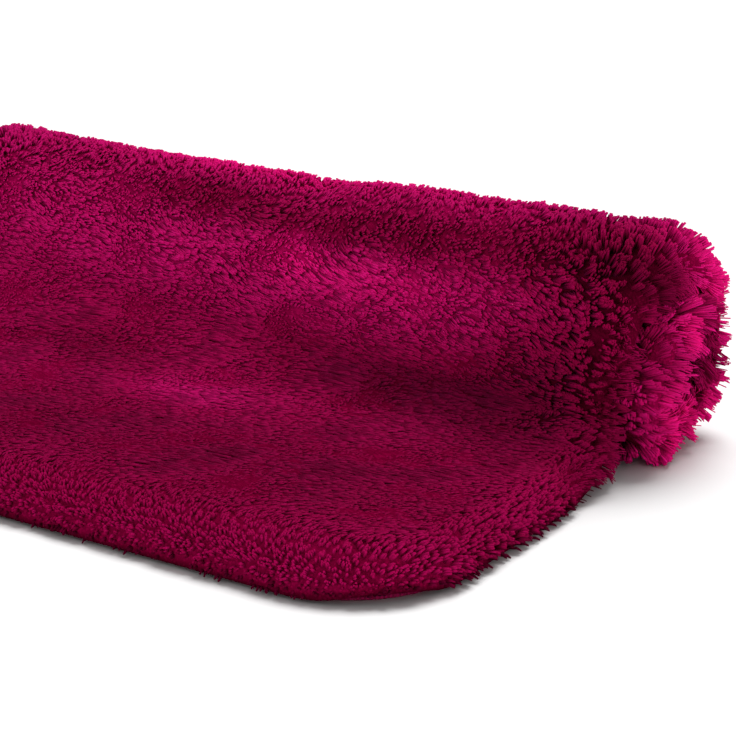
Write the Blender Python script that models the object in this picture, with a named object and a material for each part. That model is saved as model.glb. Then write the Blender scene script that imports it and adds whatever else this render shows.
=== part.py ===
"""Shaggy bath mat, half rolled up. Run with: blender --background --python part.py

The mat is one piece of tufted cloth. Its front part lies flat with the pile up. Behind that it
rises, turns over and is rolled under itself twice, so that the pile stays on the outside.
The solid reaches as far as the tips of the pile. It is modelled flat first, as a slab with rounded
corners, and then every point is carried onto the rolled section.

Metres, +Z up, +X along the roll, -Y towards the flat front. The origin is the centre of the mat's
bounding box, on the floor.
"""

import bisect
import math
from collections import namedtuple

import bmesh
import bpy
from mathutils import Vector

# Driving dimensions.
CLOTH_WIDTH = 0.550  # the base cloth, along the roll
CLOTH_LENGTH = 0.650  # the base cloth, from the front edge to the end inside the roll
CORNER_RADIUS = 0.056  # the base cloth's four corners
OVERHANG = 0.008  # how far the pile stands out past the cloth's edge
RIM_ROUNDING = 0.016  # the width over which the pile falls off towards its rim
RIM_HEIGHT = 0.55  # the pile's height at its rim, as a share of its full height
RIM_LIFT = 0.003  # the pile hangs over the cloth's edge this far above the floor

# How the slab is divided.
CORNER_STATIONS = 6
SECTION_STEP = 0.0075  # the longest step along the rolled part
FLAT_STEP = 0.030  # the longest step along the flat part
FLAT_LENGTH = 0.090  # up to where the cloth starts to rise
COLUMNS = 14

# The mat's section in the YZ plane, in millimetres, at its right end and at its left end, where it
# is rolled more loosely: the underside of the cloth, from the front edge to the end inside the roll.
# heading is the way the cloth runs there, in degrees, with 0 towards +Y and 90 upwards.
Station = namedtuple("Station", "name y z heading")
RIGHT_END = [
    Station("front_edge", -297.0, 0.0, 0.0),
    Station("lift_off", -121.0, 0.0, 0.0),
    Station("rise", -84.0, 8.5, 29.0),
    Station("foot", -58.0, 30.0, 61.0),
    Station("front", -48.0, 54.0, 69.0),
    Station("shoulder", -31.0, 87.0, 52.0),
    Station("crown", 0.0, 106.5, 6.0),
    Station("back_shoulder", 28.0, 96.0, -46.0),
    Station("back", 44.0, 62.0, -90.0),
    Station("heel", 35.0, 33.0, -135.0),
    Station("sole_back", 10.0, 20.5, -180.0),
    Station("sole_front", -17.0, 20.5, -180.0),
    Station("inner_foot", -30.0, 35.0, -258.0),
    Station("inner_front", -19.0, 62.0, -288.0),
    Station("inner_crown", 4.0, 80.5, -360.0),
    Station("inner_back", 22.0, 65.0, -450.0),
    Station("inner_heel", 8.0, 45.0, -530.0),
    Station("end", -9.0, 44.0, -545.0),
]
LEFT_END = [
    Station("front_edge", -297.0, 0.0, 0.0),
    Station("lift_off", -196.0, 0.0, 0.0),
    Station("rise", -146.0, 9.0, 22.0),
    Station("foot", -98.0, 38.0, 40.0),
    Station("front", -70.0, 62.0, 42.0),
    Station("shoulder", -42.0, 87.0, 38.0),
    Station("crown", -2.0, 106.0, 6.0),
    Station("back_shoulder", 32.0, 97.0, -38.0),
    Station("back", 55.0, 62.0, -90.0),
    Station("heel", 44.0, 32.0, -138.0),
    Station("sole_back", 15.0, 20.5, -180.0),
    Station("sole_front", -36.0, 20.5, -180.0),
    Station("inner_foot", -48.0, 34.0, -262.0),
    Station("inner_front", -32.0, 62.0, -298.0),
    Station("inner_crown", 2.0, 81.0, -358.0),
    Station("inner_back", 28.0, 64.0, -450.0),
    Station("inner_heel", 12.0, 45.0, -535.0),
    Station("end", -2.0, 44.0, -545.0),
]
MM = 0.001

# Cloth and pile together, in millimetres, at lengths along the cloth: full on top, less where the
# roll squeezes or stands on the pile. skew is how far each turn's right end has slid to the right.
Depth = namedtuple("Depth", "along height skew")
DEPTHS = [
    Depth(0.0, 26.5, 0.0),
    Depth(140.0, 26.5, 0.0),
    Depth(200.0, 26.5, -9.0),
    Depth(260.0, 28.5, -13.0),
    Depth(335.0, 30.5, -5.0),
    Depth(390.0, 29.0, 1.0),
    Depth(430.0, 25.0, 3.0),
    Depth(450.0, 20.5, 1.0),
    Depth(485.0, 20.5, -3.0),
    Depth(520.0, 18.0, -5.0),
    Depth(560.0, 18.0, -3.0),
    Depth(590.0, 18.0, 0.0),
    Depth(650.0, 16.5, 2.0),
]

# Soft rises and hollows in the pile of the flat part and the outer turn: where along the mat and
# across it, the size of each, and how much it adds to the height of the pile, in millimetres.
Swell = namedtuple("Swell", "along across reach rise")
SWELLS = [
    Swell(10.0, 215.0, 60.0, 2.0),
    Swell(60.0, 150.0, 60.0, 1.4),
    Swell(70.0, -60.0, 75.0, 1.6),
    Swell(95.0, -210.0, 55.0, -1.6),
    Swell(205.0, -130.0, 55.0, 1.5),
    Swell(215.0, 90.0, 60.0, -1.8),
    Swell(262.0, 40.0, 42.0, -2.0),
    Swell(300.0, 205.0, 45.0, 1.6),
    Swell(325.0, -290.0, 72.0, 7.0),
    Swell(330.0, -180.0, 60.0, 1.5),
    Swell(345.0, 95.0, 40.0, 2.2),
    Swell(350.0, 175.0, 40.0, 1.4),
]


def clear_scene():
    for thing in list(bpy.data.objects):
        bpy.data.objects.remove(thing)


def arc_like(start, end, share):
    """A point and its heading, that share of the way along the curve between two stations."""
    a, b = Vector((start.y, start.z)), Vector((end.y, end.z))
    turn = math.radians(end.heading - start.heading)
    pull = (b - a).length / math.cos(turn / 4) ** 2
    from_a = pull * Vector((math.cos(math.radians(start.heading)), math.sin(math.radians(start.heading))))
    from_b = pull * Vector((math.cos(math.radians(end.heading)), math.sin(math.radians(end.heading))))
    t = share
    place = (
        (2 * t**3 - 3 * t**2 + 1) * a
        + (t**3 - 2 * t**2 + t) * from_a
        + (3 * t**2 - 2 * t**3) * b
        + (t**3 - t**2) * from_b
    )
    along = (
        (6 * t**2 - 6 * t) * a
        + (3 * t**2 - 4 * t + 1) * from_a
        + (6 * t - 6 * t**2) * b
        + (3 * t**2 - 2 * t) * from_b
    )
    return place, along.normalized()


def blend(a, b, share):
    return a + (b - a) * share


class Section:
    """One section of the rolled mat, measured by length along the cloth."""

    def __init__(self, stations, finest=24):
        self.lengths, self.places, self.normals = [0.0], [], []
        for start, end in zip(stations, stations[1:]):
            for i in range(1 if self.places else 0, finest + 1):
                place, along = arc_like(start, end, i / finest)
                if self.places:
                    self.lengths.append(self.lengths[-1] + (place - self.places[-1]).length)
                self.places.append(place)
                self.normals.append(Vector((-along.y, along.x)))

    def at(self, along):
        """Place and normal, in millimetres; straight on past the two ends."""
        onward = along - min(max(along, 0.0), self.lengths[-1])
        high = min(max(bisect.bisect_left(self.lengths, along), 1), len(self.lengths) - 1)
        share = (along - onward - self.lengths[high - 1]) / (self.lengths[high] - self.lengths[high - 1])
        normal = self.normals[high - 1].lerp(self.normals[high], share).normalized()
        place = self.places[high - 1].lerp(self.places[high], share)
        return place + Vector((normal.y, -normal.x)) * onward, normal


class RolledMat:
    """Carries a point of the flat mat onto the rolled one."""

    def __init__(self):
        self.right, self.left = Section(RIGHT_END), Section(LEFT_END)

    def carry(self, along, across, above):
        """The place in space of a point of the flat mat, with above as its height over the cloth's underside."""
        leftness = min(max(0.5 - across / CLOTH_WIDTH, 0.0), 1.0)
        right_place, right_normal = self.right.at(along / MM)
        left_place, left_normal = self.left.at(along / MM)
        place = right_place.lerp(left_place, leftness)
        normal = right_normal.lerp(left_normal, leftness).normalized()
        lifted = place * MM + normal * above
        slid = depth_at(along, "skew") * (1 - leftness)
        return Vector((across + slid, lifted.x, lifted.y))


def depth_at(along, name):
    """A value of the depths' table, eased between its rows."""
    place = along / MM
    for first, last in zip(DEPTHS, DEPTHS[1:]):
        if place <= last.along:
            break
    share = min(max((place - first.along) / (last.along - first.along), 0.0), 1.0)
    return blend(getattr(first, name), getattr(last, name), share * share * (3 - 2 * share)) * MM


def swell_at(along, across):
    total = 0.0
    for swell in SWELLS:
        far = math.hypot(along / MM - swell.along, across / MM - swell.across) / swell.reach
        total += swell.rise * math.exp(-far * far)
    return total * MM


def half_width(along):
    """Half the pile's width at a length along the cloth, inside the rounded outline."""
    radius = CORNER_RADIUS + OVERHANG
    from_end = min(along + OVERHANG, CLOTH_LENGTH + OVERHANG - along)
    reach = CLOTH_WIDTH / 2 + OVERHANG
    if from_end >= radius:
        return reach
    return reach - radius + math.sqrt(max(0.0, radius**2 - (radius - from_end) ** 2))


def from_rim(along, across):
    """How far inside the pile's outline a point of the flat mat lies."""
    radius = CORNER_RADIUS + OVERHANG
    in_from_end = min(along + OVERHANG, CLOTH_LENGTH + OVERHANG - along)
    in_from_side = CLOTH_WIDTH / 2 + OVERHANG - abs(across)
    if in_from_end < radius and in_from_side < radius:
        return radius - math.hypot(radius - in_from_end, radius - in_from_side)
    return min(in_from_end, in_from_side)


def stations_along():
    """Lengths along the cloth at which the slab is divided: close in the corners and the roll, wide on the flat."""
    radius = CORNER_RADIUS + OVERHANG
    corner = [
        radius * (1 - math.cos(math.pi / 2 * i / CORNER_STATIONS)) - OVERHANG
        for i in range(CORNER_STATIONS + 1)
    ]
    far_corner = [CLOTH_LENGTH - place for place in reversed(corner)]
    found = list(corner)
    for first, last, step in (
        (corner[-1], FLAT_LENGTH, FLAT_STEP),
        (FLAT_LENGTH, far_corner[0], SECTION_STEP),
    ):
        count = max(1, math.ceil((last - first) / step))
        found += [first + (last - first) * i / count for i in range(1, count + 1)]
    return found + far_corner[1:]


def columns_across():
    """Places across the mat as shares of its half width, closer near its two sides."""
    return [math.sin(math.pi / 2 * (2 * i / COLUMNS - 1)) for i in range(COLUMNS + 1)]


def flat_slab():
    """The mat before it is rolled: x across, y along, z up from the cloth's underside."""
    stations, columns = stations_along(), columns_across()
    slab = bmesh.new()
    bmesh.ops.create_grid(slab, x_segments=COLUMNS, y_segments=len(stations) - 1, size=1.0)
    for point in slab.verts:
        column = round((point.co.x + 1) / 2 * COLUMNS)
        station = round((point.co.y + 1) / 2 * (len(stations) - 1))
        along = stations[station]
        point.co = Vector((columns[column] * half_width(along), along, 0.0))
    raised = bmesh.ops.extrude_face_region(slab, geom=slab.faces[:])
    top = {item for item in raised["geom"] if isinstance(item, bmesh.types.BMVert)}
    for point in slab.verts:
        along, across = point.co.y, point.co.x
        inside = from_rim(along, across)
        if point in top:
            fall = max(0.0, 1 - inside / RIM_ROUNDING)
            height = depth_at(along, "height") + swell_at(along, across)
            point.co.z = height * (1 - (1 - RIM_HEIGHT) * fall * fall)
        else:
            point.co.z = RIM_LIFT * max(0.0, 1 - inside / OVERHANG)
    return slab


def roll_up(slab):
    rolled = RolledMat()
    for point in slab.verts:
        point.co = rolled.carry(point.co.y, point.co.x, point.co.z)


def stand_over_origin(slab):
    """Moves the mat so that the origin is under the middle of its bounding box."""
    low = Vector(min(v.co[k] for v in slab.verts) for k in range(3))
    high = Vector(max(v.co[k] for v in slab.verts) for k in range(3))
    middle = (low + high) / 2
    bmesh.ops.translate(slab, verts=slab.verts[:], vec=(-middle.x, -middle.y, -low.z))


def pile_material():
    material = bpy.data.materials.new("magenta_pile")
    material.use_nodes = True
    shader = material.node_tree.nodes["Principled BSDF"]
    shader.inputs["Base Color"].default_value = (0.30, 0.004, 0.085, 1.0)
    shader.inputs["Roughness"].default_value = 0.75
    shader.inputs["Metallic"].default_value = 0.0
    return material


def make_mat():
    slab = flat_slab()
    roll_up(slab)
    stand_over_origin(slab)
    bmesh.ops.recalc_face_normals(slab, faces=slab.faces[:])
    mesh = bpy.data.meshes.new("mat")
    slab.to_mesh(mesh)
    slab.free()
    mesh.shade_smooth()
    mesh.set_sharp_from_angle(angle=math.radians(50))
    mesh.materials.append(pile_material())
    mat = bpy.data.objects.new("mat", mesh)
    bpy.context.scene.collection.objects.link(mat)
    return mat


clear_scene()
make_mat()
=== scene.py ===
"""Shaggy bath mat, half rolled up: its base cloth with a turned hem, and the long yarn pile on it.

Everything is worked out on the mat laid flat, where a place is given by how far across the cloth it
lies, how far along, and how far above the cloth's underside. It is then carried onto the rolled
section. Metres, +Z up, in the model's own frame.
"""

import math
from collections import namedtuple

import bmesh
import bpy
import numpy as np
from mathutils import Matrix, Vector


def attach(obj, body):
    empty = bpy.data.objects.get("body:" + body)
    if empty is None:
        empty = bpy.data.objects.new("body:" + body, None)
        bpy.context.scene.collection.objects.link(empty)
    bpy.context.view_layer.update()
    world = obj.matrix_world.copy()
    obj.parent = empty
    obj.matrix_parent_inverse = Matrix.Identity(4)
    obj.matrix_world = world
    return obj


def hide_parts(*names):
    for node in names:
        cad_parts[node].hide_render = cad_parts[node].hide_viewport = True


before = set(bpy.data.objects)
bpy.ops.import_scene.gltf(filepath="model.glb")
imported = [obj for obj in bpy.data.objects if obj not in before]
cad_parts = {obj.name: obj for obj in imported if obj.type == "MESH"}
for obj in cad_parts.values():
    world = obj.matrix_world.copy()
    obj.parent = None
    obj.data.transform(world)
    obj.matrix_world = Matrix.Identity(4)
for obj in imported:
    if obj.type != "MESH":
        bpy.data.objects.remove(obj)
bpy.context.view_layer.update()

MM = 0.001

# The cloth, cut flat.
CLOTH_WIDTH = 0.550
CLOTH_LENGTH = 0.650
CORNER_RADIUS = 0.056
CLOTH_THICKNESS = 0.0022
HEM_WIDTH = 0.007
HEM_THICKNESS = 0.0036
HEM_STEP = 0.0012  # the hem thins out to the cloth over this width
HEM_ROUND = 0.0012  # how much its fold is rounded, above and below
HEM_ROUND_WIDTH = 0.0016
MIDDLE = Vector((-0.0015, 0.1109, 0.0))  # from the flat cloth's own zero to the model's

# The yarn.
STRAND_RADIUS = 0.00068
FRINGE_RADIUS = 0.00046  # the ends that fan out at the two ends of the roll
KNOB_RADIUS = 0.00088  # the knobbly ends at the rim of the flat part
LOWEST = 0.0006  # no yarn comes nearer the floor than this
SEWN_AT = 0.8 * CLOTH_THICKNESS  # how high in the cloth the strands begin
SUNK = 0.0010  # how far down into the lower pile the upright ones are made

# The brushed edge.
HEM_CLEAR = 0.0015  # the outermost tufts stand this far inside the cloth's edge
FAN_WIDTH = 0.021  # the tufts nearer the edge than this fan outwards, like the edge of a brush
RIM_LOW = 0.0028  # how high above the cloth's underside the brushed edge reaches furthest
CURL_DROP = 0.024  # on the roll it curls round the edge by some of this
CURL_WIDTH = 0.009

# The close lower pile.
BED_SETBACK = 0.0026  # it stands out that much less than the brushed edge
BED_REACH = 0.0074  # and at most this far past the cloth
BED_EDGE = 0.0006  # how thick it is at its edge
BED_CLEAR = 0.0002  # how far it stays off the cloth
BED_OVER = 1.4 * BED_REACH  # as near its edge as this it lies as low as the brushed edge
FLAT_BED_ROUND = 0.50  # how round its outline is, on the flat part and on the roll
ROLL_BED_ROUND = 0.40

# The rolled section at the mat's two ends, in millimetres: the underside of the cloth, from the
# front edge to the end inside the roll. heading is the way it runs, with 90 upwards.
Station = namedtuple("Station", "name y z heading")
RIGHT_END = [
    Station("front_edge", -297.0, 0.0, 0.0),
    Station("lift_off", -121.0, 0.0, 0.0),
    Station("rise", -84.0, 8.5, 29.0),
    Station("foot", -58.0, 30.0, 61.0),
    Station("front", -48.0, 54.0, 69.0),
    Station("shoulder", -31.0, 87.0, 52.0),
    Station("crown", 0.0, 106.5, 6.0),
    Station("back_shoulder", 28.0, 96.0, -46.0),
    Station("back", 44.0, 62.0, -90.0),
    Station("heel", 35.0, 33.0, -135.0),
    Station("sole_back", 10.0, 20.5, -180.0),
    Station("sole_front", -17.0, 20.5, -180.0),
    Station("inner_foot", -30.0, 35.0, -258.0),
    Station("inner_front", -19.0, 62.0, -288.0),
    Station("inner_crown", 4.0, 80.5, -360.0),
    Station("inner_back", 22.0, 65.0, -450.0),
    Station("inner_heel", 8.0, 45.0, -530.0),
    Station("end", -9.0, 44.0, -545.0),
]
LEFT_END = [
    Station("front_edge", -297.0, 0.0, 0.0),
    Station("lift_off", -196.0, 0.0, 0.0),
    Station("rise", -146.0, 9.0, 22.0),
    Station("foot", -98.0, 38.0, 40.0),
    Station("front", -70.0, 62.0, 42.0),
    Station("shoulder", -42.0, 87.0, 38.0),
    Station("crown", -2.0, 106.0, 6.0),
    Station("back_shoulder", 32.0, 97.0, -38.0),
    Station("back", 55.0, 62.0, -90.0),
    Station("heel", 44.0, 32.0, -138.0),
    Station("sole_back", 15.0, 20.5, -180.0),
    Station("sole_front", -36.0, 20.5, -180.0),
    Station("inner_foot", -48.0, 34.0, -262.0),
    Station("inner_front", -32.0, 62.0, -298.0),
    Station("inner_crown", 2.0, 81.0, -358.0),
    Station("inner_back", 28.0, 64.0, -450.0),
    Station("inner_heel", 12.0, 45.0, -535.0),
    Station("end", -2.0, 44.0, -545.0),
]

# What changes along the cloth, in millimetres: the room for cloth and pile together, how far each
# turn's right end has slid to the right, how far the brushed edge stands out past the cloth, how
# far the pile lies over across and along the cloth, how far its locks part, how deep one sees into
# it, and the gap between strands.
Depth = namedtuple("Depth", "along height skew reach over_across over_along parting showing gap")
DEPTHS = [
    Depth(0.0, 26.5, 0.0, 10.0, 5.0, 2.0, 1.2, 3.2, 1.75),
    Depth(55.0, 26.5, 0.0, 10.0, 12.0, 4.0, 0.5, 0.8, 1.95),
    Depth(110.0, 26.5, 0.0, 7.0, 12.0, 4.0, 0.5, 0.8, 1.95),
    Depth(150.0, 26.5, 0.0, 6.0, 12.0, 4.0, 0.5, 0.8, 1.95),
    Depth(200.0, 26.5, -8.0, 11.0, 12.0, 2.0, 1.1, 1.6, 1.75),
    Depth(222.0, 27.0, -10.0, 12.0, 12.0, 1.5, 1.2, 1.8, 1.60),
    Depth(260.0, 28.5, -13.0, 5.0, 12.0, -0.5, 1.5, 2.2, 1.55),
    Depth(300.0, 29.5, -9.0, 7.0, 11.0, -2.5, 1.7, 2.6, 1.55),
    Depth(345.0, 30.5, -4.0, 10.0, 3.0, -0.5, 2.5, 4.2, 1.60),
    Depth(390.0, 29.0, -2.0, 11.0, 2.0, 1.0, 2.4, 5.0, 1.80),
    Depth(430.0, 25.0, -2.0, 10.5, 3.0, 3.0, 2.0, 5.0, 2.00),
    Depth(450.0, 20.5, -2.0, 10.5, 0.0, 8.0, 2.0, 5.0, 2.00),
    Depth(485.0, 20.5, -4.0, 12.5, 0.0, 8.0, 2.0, 5.0, 1.80),
    Depth(520.0, 18.0, 0.0, 14.5, 0.0, 6.0, 2.0, 5.0, 1.75),
    Depth(560.0, 18.0, 3.0, 14.0, 0.0, 6.0, 2.0, 5.0, 1.75),
    Depth(590.0, 18.0, 5.0, 16.0, 0.0, 6.0, 2.0, 5.0, 1.75),
    Depth(650.0, 16.5, 6.0, 20.0, 0.0, 6.0, 2.0, 5.0, 1.75),
]

LEFT_UPRIGHT = 0.085  # the pile lies over to the right, but not this near the left side
RIM_EXTRA = 1.5  # further strands where they fan out, for each that stands there anyway
ROLL_EXTRA = 1.7  # and still more at the two ends of the roll
ROLL_FROM = 0.200  # the cloth has left the floor from here on
INSIDE_FROM = 0.446  # further along than this the pile shows only at the two ends of the roll
INSIDE_SHOWS = 0.022  # and only this far in

# Where one kind of pile gives way to the next: from where, and over what length.
Fade = namedtuple("Fade", "start length")
ON_ROLL = Fade(ROLL_FROM, 0.030)
PAST_CROWN = Fade(0.330, 0.040)
INNER_TURN = Fade(0.450, 0.050)
NEAR_END = Fade(0.200, 0.050)  # across the mat, from its middle to either end of the roll
END_SHOWING = 1.1  # how much deeper one sees into the pile there, as a share
END_PARTING = 0.15  # and how much more its locks part

# The strands stand together in tufts, and several tufts lie alike as a lock: how far apart these
# are, the seed of their places, how far their strands draw together and how far they part. At the
# rim of the flat part smaller knobs take the place of the tufts.
Cluster = namedtuple("Cluster", "pitch seed draw part")
LOCKS = Cluster(0.0115, 31, 0.12, 1.2)
TUFTS = Cluster(0.0042, 41, 0.50, 1.5)
KNOBS = TUFTS._replace(pitch=0.0031, seed=51)
END_LOCK_DRAW = 0.22  # how much more a lock draws together at the two ends of the roll

# Slow changes over the mat, in how far the pile lies over, in the way its locks are pushed and in
# the top of the lower pile: the size of their waves, their seed and how strong they are.
Change = namedtuple("Change", "wave seed share")
LEAN_CHANGE = Change(0.060, 13, 0.35)
PUSHES = [Change(0.070, 21, 0.50), Change(0.024, 23, 0.60)]
BED_CHANGES = [Change(0.030, 61, 0.4 * MM), Change(0.011, 62, 0.4 * MM)]

# How the edge fans out, on the flat part and on the roll: how much the strands gather in tufts, how
# far they turn, how round the outline is, how loose they are, how much tufts and locks differ in
# turn and in reach, how much they sway along the edge, and how soon they bend.
Fan = namedtuple(
    "Fan", "gather curl rounder loose tuft_turn lock_turn tuft_reach lock_reach sway bend"
)
FLAT_FAN = Fan(0.35, 0.99, 0.85, 0.4, 0.10, 0.00, 0.002, 0.002, 0.35, 0.45)
ROLL_FAN = Fan(0.50, 1.36, 0.62, 1.0, 0.18, 0.12, 0.005, 0.008, 1.00, 0.78)
CROWN_CURL = 0.20  # how much further they curl past the crown of the roll
INNER_CURL = 0.22  # and still further on its inner turn
LOCK_SWAY = 0.010
TUFT_SWAY = 0.006
UPRIGHT_BEND = 0.97  # how far up the upright strands bend over, as a share of their length
FAN_BEND = 0.50  # and the fanned ones

# How much single strands stray from their tuft.
ROOT_STRAY = (0.45, 0.42)  # across and along, as a share of the gap between strands
EXTRA_ROOT_STRAY = 1.0 * MM
LEAN_STRAY = 0.6 * MM
TURN_STRAY = 0.03
REACH_STRAY = 0.5 * MM
SWAY_STRAY = 0.8 * MM

# How uneven the cut ends are: a plain share, and the shares that go with the parting of the locks.
CUT_UNEVEN = 0.25 * MM
CUT_PARTED = 0.20
LOCK_CUT = 0.5
TUFT_CUT = 0.8

# How fast things change from the inner border of the fan, at 0, to its outermost strand, at 1: how
# soon the strands are fully gathered and bent, are made down to their roots, and lie over least.
FAN_SETS_IN = 3.0
WHOLE_SETS_IN = 2.2
LEAN_SETTLES = 1.5
LEAN_LESS = 0.8  # how much less they lie over then, as a share
CUT_LESS = 0.7  # and how much less uneven the outermost ends are

# What the strands' own colour does: how much each strand and each tuft counts in its tone, how much
# painted shade darkens them low down at the rim of the flat part and deep in the inner turn, and
# how much painted light lightens the rest of that rim.
STRAND_TONE = 0.55
TUFT_TONE = 0.45
LEAST_TONE = 0.25  # what is left of it where no locks part
FULL_TONE_PARTING = 1.8 * MM
LOW_DOWN = Fade(0.80, 0.20)  # these three go by how far out a strand stands in the fan
OUT_OF_DEEP = Fade(0.35, 0.40)
INTO_RIM = Fade(0.0, 0.30)
LOW_PAINTED_SHADE = 0.80
DEEP_PAINTED_SHADE = 0.40
RIM_PAINTED_LIGHT = 0.18

# The seeds of the strands' places and of their makes.
PLACE_SEED = 7
MAKE_SEED = 77

# Soft rises and hollows in the pile: where along the mat and across it, the size of each, and how
# much it adds to the height of the pile, in millimetres.
Swell = namedtuple("Swell", "along across reach rise")
SWELLS = [
    Swell(10.0, 215.0, 60.0, 2.0),
    Swell(60.0, 150.0, 60.0, 1.4),
    Swell(70.0, -60.0, 75.0, 1.6),
    Swell(95.0, -210.0, 55.0, -1.6),
    Swell(205.0, -130.0, 55.0, 1.5),
    Swell(215.0, 90.0, 60.0, -1.8),
    Swell(262.0, 40.0, 42.0, -2.0),
    Swell(300.0, 205.0, 45.0, 1.6),
    Swell(325.0, -290.0, 72.0, 7.0),
    Swell(330.0, -180.0, 60.0, 1.5),
    Swell(340.0, 54.0, 18.0, 1.6),
    Swell(338.0, 24.0, 22.0, -4.2),
    Swell(340.0, 80.0, 11.0, -2.6),
    Swell(345.0, 99.0, 26.0, 3.0),
    Swell(350.0, 175.0, 40.0, 1.4),
    Swell(378.0, 262.0, 24.0, 2.0),
    Swell(412.0, 262.0, 26.0, -5.0),
    Swell(450.0, 264.0, 24.0, 6.5),
    Swell(505.0, 268.0, 28.0, 6.0),
    Swell(545.0, 272.0, 36.0, 5.0),
    Swell(610.0, 272.0, 30.0, 3.0),
]

# Broad patches of painted light and shade on the pile, lighter or darker: the middle of each and
# how far it reaches along and across the mat, in millimetres, and how much lighter it is, as a
# power of e.
Nap = namedtuple("Nap", "along across reach_along reach_across lighter")
SHADE_PATCHES = [
    Nap(90.0, 180.0, 110.0, 170.0, -0.70),
    Nap(70.0, -60.0, 100.0, 150.0, -0.62),
    Nap(60.0, -260.0, 150.0, 100.0, -0.10),
    Nap(232.0, 0.0, 32.0, 300.0, -0.30),
    Nap(155.0, 15.0, 22.0, 45.0, 0.45),
    Nap(180.0, 210.0, 25.0, 60.0, -0.30),
    Nap(185.0, -80.0, 25.0, 70.0, -0.55),
    Nap(200.0, 250.0, 40.0, 50.0, -0.35),
    Nap(225.0, 165.0, 30.0, 85.0, -0.95),
    Nap(262.0, 225.0, 28.0, 50.0, -0.50),
    Nap(285.0, -30.0, 35.0, 150.0, 0.08),
    Nap(290.0, 250.0, 35.0, 40.0, -0.45),
    Nap(292.0, 110.0, 18.0, 60.0, 0.25),
    Nap(297.0, 45.0, 15.0, 25.0, 0.30),
    Nap(315.0, 30.0, 9.0, 90.0, -0.45),
    Nap(318.0, -50.0, 12.0, 45.0, -0.40),
    Nap(346.0, -60.0, 13.0, 110.0, 0.25),
    Nap(322.0, 170.0, 14.0, 110.0, -0.50),
    Nap(358.0, 0.0, 18.0, 300.0, 0.38),
    Nap(480.0, 250.0, 110.0, 90.0, 0.75),
    Nap(345.0, 245.0, 26.0, 60.0, -0.55),
    Nap(372.0, 270.0, 26.0, 13.0, 0.50),
    Nap(328.0, 265.0, 9.0, 16.0, -0.60),
    Nap(432.0, 270.0, 14.0, 14.0, -0.60),
    Nap(510.0, 268.0, 22.0, 12.0, 0.25),
    Nap(522.0, 248.0, 12.0, 16.0, -0.50),
    Nap(558.0, 252.0, 12.0, 10.0, -0.60),
    Nap(576.0, 264.0, 10.0, 11.0, 0.60),
    Nap(602.0, 270.0, 16.0, 14.0, -0.60),
]

# The one place where the hem shows, by the front corner, in millimetres. The brushed edge stands
# that much higher there.
HemAt = namedtuple("HemAt", "along across reach")
HEM_AT = HemAt(22.0, 258.0, 26.0)
HEM_GAP = 4.0 * MM

# The pile is made as pieces, each up to a length along the cloth.
PileRun = namedtuple("PileRun", "name up_to")
PILE_RUNS = [
    PileRun("pile_front", 0.088),
    PileRun("pile_middle", 0.176),
    PileRun("pile_rise", 0.246),
    PileRun("pile_shoulder", 0.300),
    PileRun("pile_crown", 0.352),
    PileRun("pile_back", 0.430),
    PileRun("pile_inside", 1.0),
]


def added(name, data):
    """A new object in the scene."""
    made = bpy.data.objects.new(name, data)
    bpy.context.scene.collection.objects.link(made)
    return made


def soft_step(value):
    value = np.clip(value, 0.0, 1.0)
    return value * value * (3 - 2 * value)


def faded(value, fade):
    """0 up to the fade's start, then softly up to 1."""
    return soft_step((value - fade.start) / fade.length)


# --- the rolled section -----------------------------------------------------------------------


class Section:
    """One end's section of the rolled mat, measured by length along the cloth."""

    def __init__(self, stations, finest=24):
        places, ways = [], []
        for start, end in zip(stations, stations[1:]):
            a, b = np.array((start.y, start.z)), np.array((end.y, end.z))
            turn = math.radians(end.heading - start.heading)
            pull = np.linalg.norm(b - a) / math.cos(turn / 4) ** 2
            way_a, way_b = (
                pull * np.array((math.cos(math.radians(h)), math.sin(math.radians(h))))
                for h in (start.heading, end.heading)
            )
            t = np.linspace(0.0, 1.0, finest + 1)[1 if places else 0 :, None]
            places.append(
                (2 * t**3 - 3 * t**2 + 1) * a
                + (t**3 - 2 * t**2 + t) * way_a
                + (3 * t**2 - 2 * t**3) * b
                + (t**3 - t**2) * way_b
            )
            ways.append(
                (6 * t**2 - 6 * t) * a
                + (3 * t**2 - 4 * t + 1) * way_a
                + (6 * t - 6 * t**2) * b
                + (3 * t**2 - 2 * t) * way_b
            )
        self.places = np.concatenate(places) * MM
        ways = np.concatenate(ways)
        self.ways = ways / np.linalg.norm(ways, axis=1)[:, None]
        steps = np.linalg.norm(np.diff(self.places, axis=0), axis=1)
        self.lengths = np.concatenate(([0.0], np.cumsum(steps)))

    def at(self, along):
        """Places and ways at lengths along the cloth; straight on past the two ends."""
        onward = along - np.clip(along, 0.0, self.lengths[-1])
        place, way = (
            np.stack([np.interp(along, self.lengths, column) for column in table.T], axis=1)
            for table in (self.places, self.ways)
        )
        return place + way * onward[:, None], way


def depth_at(along, name):
    """A column of DEPTHS at lengths along the cloth, eased between its rows, in metres."""
    stops = np.array([row.along for row in DEPTHS]) * MM
    values = np.array([getattr(row, name) for row in DEPTHS]) * MM
    high = np.clip(np.searchsorted(stops, along), 1, len(stops) - 1)
    share = soft_step((along - stops[high - 1]) / (stops[high] - stops[high - 1]))
    return values[high - 1] + (values[high] - values[high - 1]) * share


def swell_at(across, along):
    """How much the soft rises and hollows add to the pile's height."""
    total = 0.0
    for swell in SWELLS:
        far = np.hypot(along - swell.along * MM, across - swell.across * MM) / (swell.reach * MM)
        total = total + swell.rise * MM * np.exp(-far * far)
    return total


def painted_shading_at(across, along):
    """How many times lighter the painted light and shade of the broad patches make the pile at
    these places.
    """
    total = 0.0
    for nap in SHADE_PATCHES:
        up = (along / MM - nap.along) / nap.reach_along
        over = (across / MM - nap.across) / nap.reach_across
        total = total + nap.lighter * np.exp(-up * up - over * over)
    return np.exp(total)


SECTIONS = Section(RIGHT_END), Section(LEFT_END)


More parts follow.
